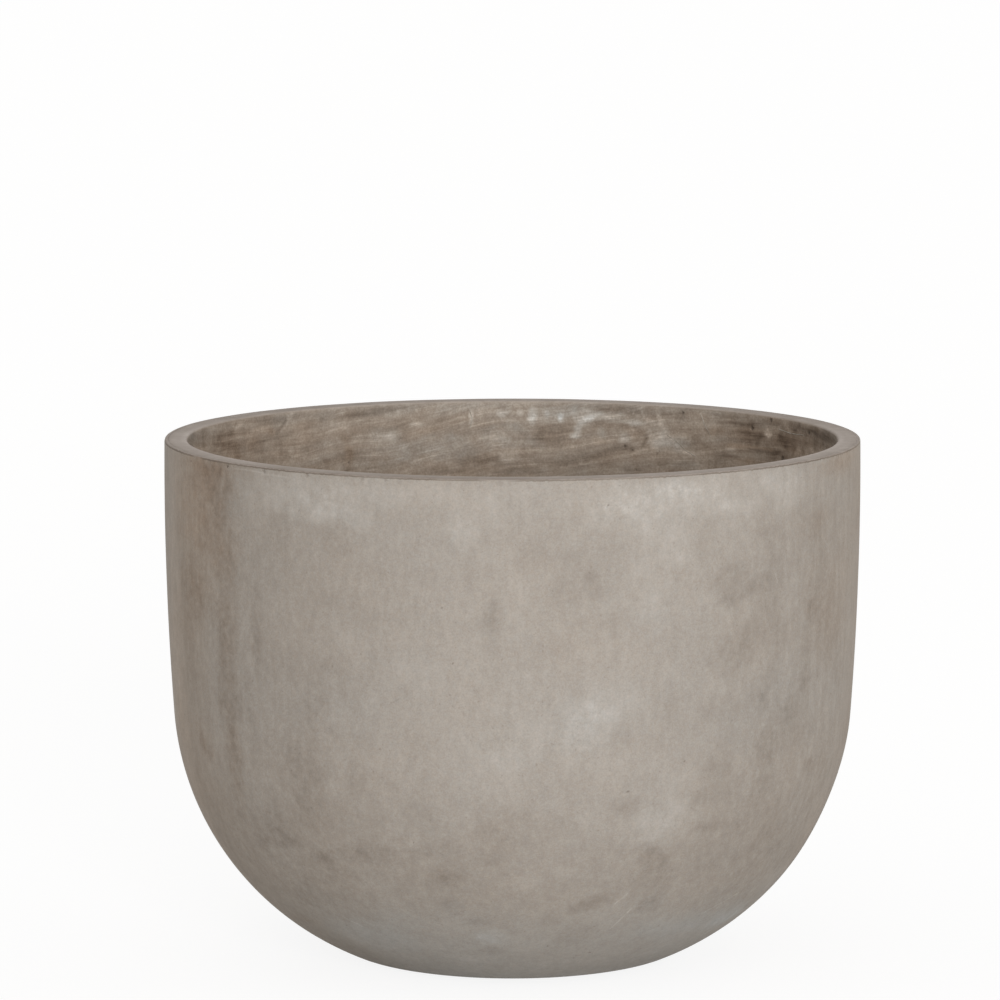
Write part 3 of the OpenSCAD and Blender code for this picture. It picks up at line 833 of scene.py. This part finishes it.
laid_paint, tree, shader = new_paint("backing_concrete_laid", 0.9, 0.25)
place = object_place(tree)
node = tree.nodes.new("ShaderNodeAttribute")
node.attribute_name = "sweep"
along_float = node.outputs["Vector"]
clouds = total(tree, swing(tree, place, 30 * MM, 0.6, 5, 0.65), swing(tree, place, 6 * MM, 0.5, 4, 0.7),
               swing(tree, place, 1.8 * MM, 0.6, 2, 0.6))
bloom = spread(tree, grain(tree, along_float, 10 * MM, 5, 0.7), 0.58, 0.68, 0, 0.3)
flecks = spread(tree, grain(tree, along_float, 3.2 * MM, 2, 0.6), 0.60, 0.70, 0, 0.5)
combed = total(tree, swing(tree, along_float, 8 * MM, 0.5, 4, 0.65),
               swing(tree, along_float, 2.2 * MM, 0.35, 2), bloom, flecks)
patchy = spread(tree, grain(tree, along_float, 5 * MM, 4, 0.7), 0.3, 0.7, 0.25, 1.75, "LINEAR")
laid_marks = times(tree, mark(tree, "paler"), patchy)
# The ridges paler and the hollows darker: painted shade in the hollows
paler = total(tree, laid_marks, clouds, combed, times(tree, mark(tree, "ridge"), 0.25))
warmer = total(tree, mark(tree, "warmer"), swing(tree, place, 40 * MM, 0.4, 3, 0.6),
               swing(tree, along_float, 9 * MM, 0.3, 3))
colour = toned(tree, (0.376, 0.3115, 0.252), paler, warmer, 1.4)
colour = mixed(tree, mark(tree, "flat_rim"), colour, rim_colour(tree, place))
# The air holes painted dark: the shade in them, and dirt
colour = mixed(tree, times(tree, mark(tree, "pit_shade_and_dirt"), 0.6), colour, (0.09, 0.072, 0.056))
relief = total(tree, grain(tree, place, 3 * MM, 4, 0.65), grain(tree, along_float, 3 * MM, 3, 0.6))
dress(tree, shader, colour, 0.5, 0.7 * MM, relief)
laid_coat.data.materials.append(laid_paint)

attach(laid_coat, "planter")
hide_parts("backing_coat")

# ---- Glass mat ---------------------------------------------------------------------------
# Chopped glass strands, 2 mm thick, laid on the outer coat and rolled wet into its cement.
# It is sealed between the two coats, so its own solid stays and only gets its finish.

mat_paint, tree, shader = new_paint("glass_mat_strands", 0.6, 0.4)
place = object_place(tree)
strands = spread(tree, grain(tree, stretched(tree, place, 1, 1, 6), 9 * MM, 3, 0.6, 2.5), 0.4, 0.6)
colour = mixed(tree, strands, (0.62, 0.62, 0.56), (0.86, 0.87, 0.83))
dress(tree, shader, colour, 0.4, 0.3 * MM, strands)
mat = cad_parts["fibre_mat"]
mat.data.materials.clear()
mat.data.materials.append(mat_paint)

# ---- Loose strands -----------------------------------------------------------------------
# Stray glass strands from the mortar itself, thin as twine, that the float dragged to the
# surface of the inside and pressed flat there. Each lies half bedded in the mortar.

strand_r = 0.28 * MM
around_strand = 6
stray_strands = 110
inside_skin = BVHTree.FromObject(laid_coat, bpy.context.evaluated_depsgraph_get())
strand_paths = [
    [(150, 423), (147.5, 417), (146, 410), (143.5, 405)], [(142.5, 445), (141.5, 434), (140, 424)],
    [(122, 439), (118, 437), (113, 438)], [(188, 441), (187.5, 433), (188, 425)],
]
for _ in range(stray_strands):
    turn = chance.uniform(0, 2 * math.pi)
    bend = chance.uniform(-0.5, 0.5)
    spot = (chance.uniform(0, 360), chance.uniform(45, 372))
    reach = chance.uniform(7, 22)
    path = []
    for share in (-1, -0.5, 0, 0.5, 1):
        way = turn + bend * share
        ahead = reach * share
        path.append((spot[0] + 0.2 * ahead * math.cos(way), spot[1] + ahead * math.sin(way)))
    strand_paths.append(path)
corners, quads = [], []
for path in strand_paths:
    coarse = np.array(path, float)
    share = np.linspace(0, len(coarse) - 1, 6 * len(coarse))
    fine = np.stack([np.interp(share, range(len(coarse)), coarse[:, i]) for i in (0, 1)], 1)
    for _ in range(4):
        fine[1:-1] = (fine[:-2] + 2 * fine[1:-1] + fine[2:]) / 4
    route = []
    for degrees, level in fine:
        spot, facing, _, _ = inside_skin.find_nearest(on_wall(degrees, level, wall_t))
        route.append((spot + facing * 0.3 * strand_r, facing))
    for i, (spot, facing) in enumerate(route):
        ahead = (route[min(i + 1, len(route) - 1)][0] - route[max(i - 1, 0)][0]).normalized()
        side = ahead.cross(facing).normalized()
        upward = side.cross(ahead)
        thick = strand_r * (0.35 if i in (0, len(route) - 1) else 1)
        for k in range(around_strand):
            angle = 2 * math.pi * k / around_strand
            corners.append(spot + thick * (1.5 * math.cos(angle) * side + math.sin(angle) * upward))
    first = len(corners) - around_strand * len(route)
    for i in range(len(route) - 1):
        for k in range(around_strand):
            low, high = first + i * around_strand, first + (i + 1) * around_strand
            after = (k + 1) % around_strand
            quads.append((low + k, low + after, high + after, high + k))
    quads.append(tuple(first + k for k in reversed(range(around_strand))))
    quads.append(tuple(len(corners) - around_strand + k for k in range(around_strand)))
mesh = bpy.data.meshes.new("loose_strands")
mesh.from_pydata(corners, [], quads)
mesh.shade_smooth()
loose_strands = placed("loose_strands", mesh)

strand_paint, tree, shader = new_paint("glass_strands_dusty", 0.7, 0.35)
place = object_place(tree)
dusted = spread(tree, grain(tree, place, 6 * MM, 3, 0.6), 0.35, 0.65)
colour = mixed(tree, dusted, (0.30, 0.26, 0.21), (0.50, 0.46, 0.40))
dress(tree, shader, colour, 0.4, 0.1 * MM, grain(tree, place, 0.6 * MM))
mesh.materials.append(strand_paint)

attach(loose_strands, "planter")

# ---- Drain plug --------------------------------------------------------------------------
# A moulded rubber stopper that shuts the drain: its flange drops into the seat in the floor,
# two round ribs on the stem squeeze into the hole, and a finger tab with grip bars lifts it.

plug_low, plug_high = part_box("drain_plug")
flange_r = plug_high.x
flange_t = 4 * MM
flange_top = seat_z + flange_t
stem_end = plug_low.z
plug_gap = 0.3 * MM
rib_reach = drain_r - plug_gap
rib_r = 1.4 * MM
stem_r = rib_reach - rib_r
rib_step = 4.5 * MM
soft_edge = 1 * MM
tab_wide = 22 * MM
tab_thick = 4 * MM
grip_out = 0.7 * MM
grip_step = 3 * MM


def spun_solid(section, around):
    """A closed solid turned about Z from half a section that starts and ends on the axis."""
    solid = bmesh.new()
    turn = [2 * math.pi * i / around for i in range(around)]
    rings = []
    for r, z in section:
        spots = [(r * math.cos(a), r * math.sin(a), z) for a in turn] if r > 1e-6 else [(0, 0, z)]
        rings.append([solid.verts.new(spot) for spot in spots])
    for low, high in zip(rings, rings[1:]):
        for i in range(around):
            corners = [low[i % len(low)], low[(i + 1) % len(low)]]
            corners += [high[(i + 1) % len(high)], high[i % len(high)]]
            solid.faces.new(list(dict.fromkeys(corners)))
    return solid


def settled(name, solid, voxel, smoothing):
    """A piece whose parts are melted into one skin of small faces, with soft inner corners."""
    mesh = bpy.data.meshes.new(name)
    solid.to_mesh(mesh)
    solid.free()
    piece = placed(name, mesh)
    melt = piece.modifiers.new("melt", "REMESH")
    melt.mode = "VOXEL"
    melt.voxel_size = voxel
    soften = piece.modifiers.new("soften", "SMOOTH")
    soften.factor = 0.5
    soften.iterations = smoothing
    seen = piece.evaluated_get(bpy.context.evaluated_depsgraph_get())
    piece.data = bpy.data.meshes.new_from_object(seen)
    piece.data.name = name
    piece.modifiers.clear()
    piece.data.shade_smooth()
    return piece


def rib_outline(middle):
    """The round bead of one sealing rib on the stem, seen in section, from the top down."""
    return arc((stem_r, middle), rib_r, -math.pi / 2, math.pi / 2, 0.35 * MM)


rib_middles = [seat_z - (i + 0.5) * rib_step for i in range(2)]
plug_section = np.concatenate([
    [(0, flange_top)],
    line((flange_r - 4.5 * MM, flange_top), (flange_r - 4 * MM, flange_top - 0.6 * MM), 1 * MM),
    line((flange_r - 3.2 * MM, flange_top - 0.6 * MM), (flange_r - 2.7 * MM, flange_top), 1 * MM),
    arc((flange_r - soft_edge, flange_top - soft_edge), soft_edge, -math.pi / 2, 0, 0.25 * MM),
    arc((flange_r - soft_edge, seat_z + soft_edge), soft_edge, 0, math.pi / 2, 0.25 * MM),
    [(stem_r, seat_z)],
    rib_outline(rib_middles[0]),
    rib_outline(rib_middles[1]),
    [(stem_r, stem_end + rib_r), (stem_r - rib_r, stem_end), (0, stem_end)],
])
plug_solid = spun_solid(plug_section, 160)
tab_foot = flange_top - 1 * MM
tab_turn = plug_high.z - tab_wide / 2
blade = [(-tab_wide / 2, tab_foot), (tab_wide / 2, tab_foot)]
blade += [(tab_wide / 2 * math.cos(a), tab_turn + tab_wide / 2 * math.sin(a))
          for a in np.linspace(0, math.pi, 33)]
for side in (-1, 1):
    corners = [plug_solid.verts.new((x, side * tab_thick / 2, z)) for x, z in blade]
    plug_solid.faces.new(corners[::side])
    if side < 0:
        back = corners
for i in range(len(blade)):
    j = (i + 1) % len(blade)
    plug_solid.faces.new((back[i], back[j], corners[j], corners[i]))
for i in (-1, 0, 1):
    for side in (-1, 1):
        bar = bmesh.ops.create_cone(plug_solid, cap_ends=True, segments=12, radius1=grip_out,
                                    radius2=grip_out, depth=tab_wide / 2)["verts"]
        bmesh.ops.rotate(plug_solid, verts=bar, matrix=Matrix.Rotation(math.pi / 2, 3, "Y"))
        spot = Vector((0, side * tab_thick / 2, tab_turn + i * grip_step + grip_out / 2))
        bmesh.ops.translate(plug_solid, verts=bar, vec=spot)
drain_stopper = settled("drain_stopper", plug_solid, 0.4 * MM, 4)

rubber, tree, shader = new_paint("plug_rubber_black", 0.55, 0.4)
place = object_place(tree)
handled = spread(tree, grain(tree, place, 12 * MM, 3, 0.6), 0.35, 0.7)
colour = mixed(tree, handled, (0.022, 0.022, 0.023), (0.045, 0.043, 0.041))
tree.links.new(spread(tree, handled, 0.0, 1.0, 0.46, 0.66), shader.inputs["Roughness"])
dress(tree, shader, colour, 0.25, 0.1 * MM, grain(tree, place, 0.5 * MM))
drain_stopper.data.materials.append(rubber)

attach(drain_stopper, "plug")
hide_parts("drain_plug")

# ---- Foot pads ---------------------------------------------------------------------------
# Four round pads of soft rubber, 4 mm thick, glued under the base so that it neither rocks
# nor scratches, with the drain held clear of the ground. Ring grooves keep them from sliding.

pad_r = 20 * MM
pad_t = base_z
pad_edge = 1 * MM
pad_circle_r = 100 * MM
groove_deep = 0.8 * MM

pad_paint, tree, shader = new_paint("pad_rubber_black", 0.8, 0.35)
place = object_place(tree)
dusty = spread(tree, grain(tree, place, 9 * MM, 3, 0.6), 0.45, 0.75)
colour = mixed(tree, dusty, (0.017, 0.017, 0.018), (0.06, 0.057, 0.053))
dress(tree, shader, colour, 0.3, 0.15 * MM, grain(tree, place, 0.8 * MM, 3))

grooves = []
for groove_r in (16 * MM, 11.5 * MM, 7 * MM):
    grooves += [(groove_r + 0.7 * MM, 0), (groove_r + 0.4 * MM, groove_deep)]
    grooves += [(groove_r - 0.4 * MM, groove_deep), (groove_r - 0.7 * MM, 0)]
pad_section = np.concatenate([
    [(0, pad_t), (pad_r - 0.4 * MM, pad_t)],
    [(pad_r, pad_t - 0.4 * MM)],
    arc((pad_r - pad_edge, pad_edge), pad_edge, 0, math.pi / 2, 0.2 * MM),
    [(pad_r - pad_edge, 0)],
    grooves,
    [(0, 0)],
])
for i in range(4):
    angle = math.radians(45 + 90 * i)
    middle = Vector((pad_circle_r * math.cos(angle), pad_circle_r * math.sin(angle), 0))
    pad_solid = spun_solid(pad_section, 96)
    bmesh.ops.translate(pad_solid, verts=pad_solid.verts, vec=middle)
    mesh = bpy.data.meshes.new(f"rubber_pad_{i + 1}")
    pad_solid.to_mesh(mesh)
    pad_solid.free()
    mesh.materials.append(pad_paint)
    rubber_pad = placed(f"rubber_pad_{i + 1}", mesh)
    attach(rubber_pad, "planter")
    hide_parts(f"foot_pad_{i + 1}")

# ---- Floor, light and camera -------------------------------------------------------------
# A plain white floor that runs out of the picture, a broad soft light from the front, a
# little to the right, and an even grey surround.

floor_mesh = bpy.data.meshes.new("floor")
reach = 40.0
floor_gap = 0.2 * MM
floor_corners = [(x * reach, y * reach, -floor_gap) for x, y in ((-1, -1), (1, -1), (1, 1), (-1, 1))]
floor_mesh.from_pydata(floor_corners, [], [(0, 1, 2, 3)])
floor = placed("floor", floor_mesh)

floor_paint = bpy.data.materials.new("floor")
floor_paint.use_nodes = True
tree = floor_paint.node_tree
tree.nodes.clear()


def seen_straight(tree):
    """1 where the camera sees a surface, straight or in a glossy or clear one, 0 elsewhere."""
    path = tree.nodes.new("ShaderNodeLightPath").outputs
    seen = calc(tree, "ADD", path["Is Camera Ray"], path["Is Glossy Ray"])
    return calc(tree, "MINIMUM", calc(tree, "ADD", seen, path["Is Transmission Ray"]), 1.0)


shadow_depth = 0.13
floor_light = 0.65
glow = put(tree, "Emission", (1, 1, 1, 1), 1 - shadow_depth)
shadowed = put(tree, "BsdfDiffuse", (*[shadow_depth / floor_light] * 3, 1))
white = put(tree, "AddShader", glow, shadowed)
grey = put(tree, "BsdfDiffuse", (0.72, 0.70, 0.67, 1))
floor_top = put(tree, "MixShader", seen_straight(tree), grey, white)
from_under = tree.nodes.new("ShaderNodeNewGeometry").outputs["Backfacing"]
clear = put(tree, "BsdfTransparent", (1, 1, 1, 1))
output = tree.nodes.new("ShaderNodeOutputMaterial")
tree.links.new(put(tree, "MixShader", from_under, floor_top, clear), output.inputs["Surface"])
floor_mesh.materials.append(floor_paint)

world = bpy.data.worlds.new("surround")
bpy.context.scene.world = world
world.use_nodes = True
tree = world.node_tree
tree.nodes.clear()
surround = 0.53
around = put(tree, "Background", (1.0, 0.98, 0.96, 1), surround)
white = put(tree, "Background", (1, 1, 1, 1), 1.0)
output = tree.nodes.new("ShaderNodeOutputWorld")
tree.links.new(put(tree, "MixShader", seen_straight(tree), around, white), output.inputs["Surface"])

key_bearing = math.radians(14)
key_height = math.radians(8)
key = bpy.data.lights.new("soft_front", "SUN")
key_strength = 0.62
key.energy = key_strength * math.pi
key.angle = math.radians(26)
key_lamp = placed("soft_front", key)
key_from = Vector((math.sin(key_bearing) * math.cos(key_height),
                   -math.cos(key_bearing) * math.cos(key_height), math.sin(key_height)))
key_lamp.rotation_euler = key_from.to_track_quat("Z", "Y").to_euler()
key_lamp.location = key_from * 3

camera_away = 4.400
camera_up = 0.9641
camera_tilt = math.radians(7.377)
camera_swing = math.radians(0.1388)
camera = bpy.data.cameras.new("camera")
camera.sensor_width = 36
camera.lens = 184.83
camera.clip_end = 200
viewer = placed("camera", camera)
viewer.location = (0, -camera_away, camera_up)
viewer.rotation_euler = (math.pi / 2 - camera_tilt, 0, camera_swing)
bpy.context.scene.camera = viewer

bpy.context.scene.view_settings.view_transform = "Standard"
